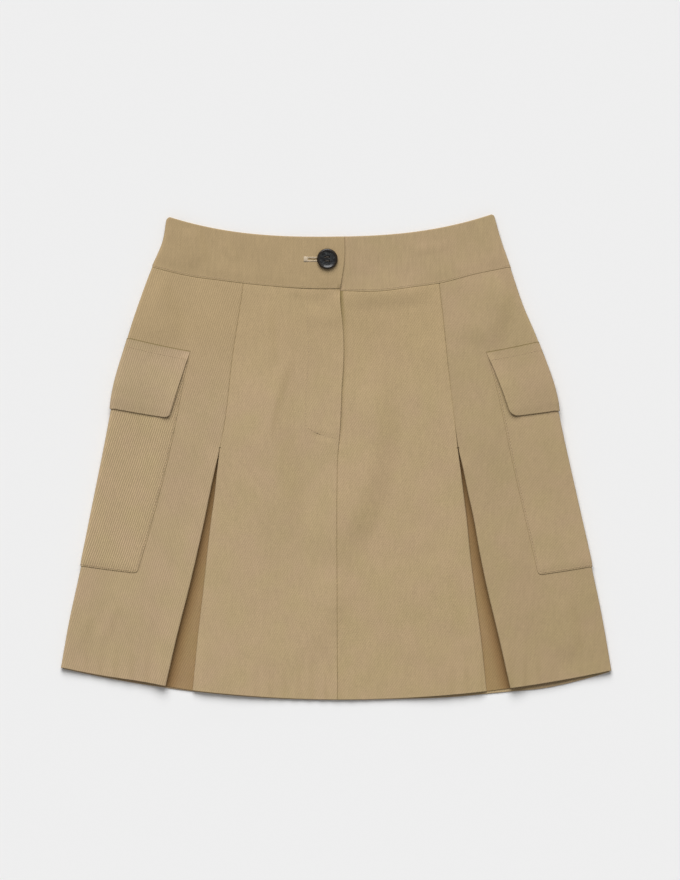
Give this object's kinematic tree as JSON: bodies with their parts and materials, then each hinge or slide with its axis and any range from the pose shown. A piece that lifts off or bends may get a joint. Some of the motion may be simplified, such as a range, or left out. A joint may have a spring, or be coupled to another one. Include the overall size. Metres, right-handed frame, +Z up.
{
  "type": "cargo utility skirt",
  "caption": "A-line cotton twill cargo skirt laid flat, with a buttoned waistband, fly, panel seams that open into pleats, and flapped patch pockets on the sides.",
  "frame": {"origin": "centre of the outline where the skirt rests, on the surface that it lies on", "axes": "+X across the skirt towards the wearer's left, +Y towards the waistband, +Z up from the surface, out of the front"},
  "size_m": [0.5508, 0.4852, 0.0124],
  "materials": {
    "cotton_twill": "matte cotton twill, beige",
    "cotton_twill_shade": "the same twill, inside the pleats",
    "horn_button": "dark mottled horn look, softly polished",
    "sewing_thread": "matte sewing thread in the cloth's colour",
    "buttonhole_thread": "pale cotton buttonhole thread"
  },
  "bodies": {
    "root": {"waistband_front_right": "cotton_twill", "waistband_front_left": "cotton_twill", "waistband_back": "cotton_twill", "front_centre_right": "cotton_twill", "front_centre_left": "cotton_twill", "front_side_right": "cotton_twill", "front_side_left": "cotton_twill", "pleat_underlay_right": "cotton_twill_shade", "pleat_underlay_left": "cotton_twill_shade", "back_panel": "cotton_twill", "pocket_right": "cotton_twill", "pocket_left": "cotton_twill", "flap_right": "cotton_twill", "flap_left": "cotton_twill", "button": "horn_button"}
  },
  "joints": []
}
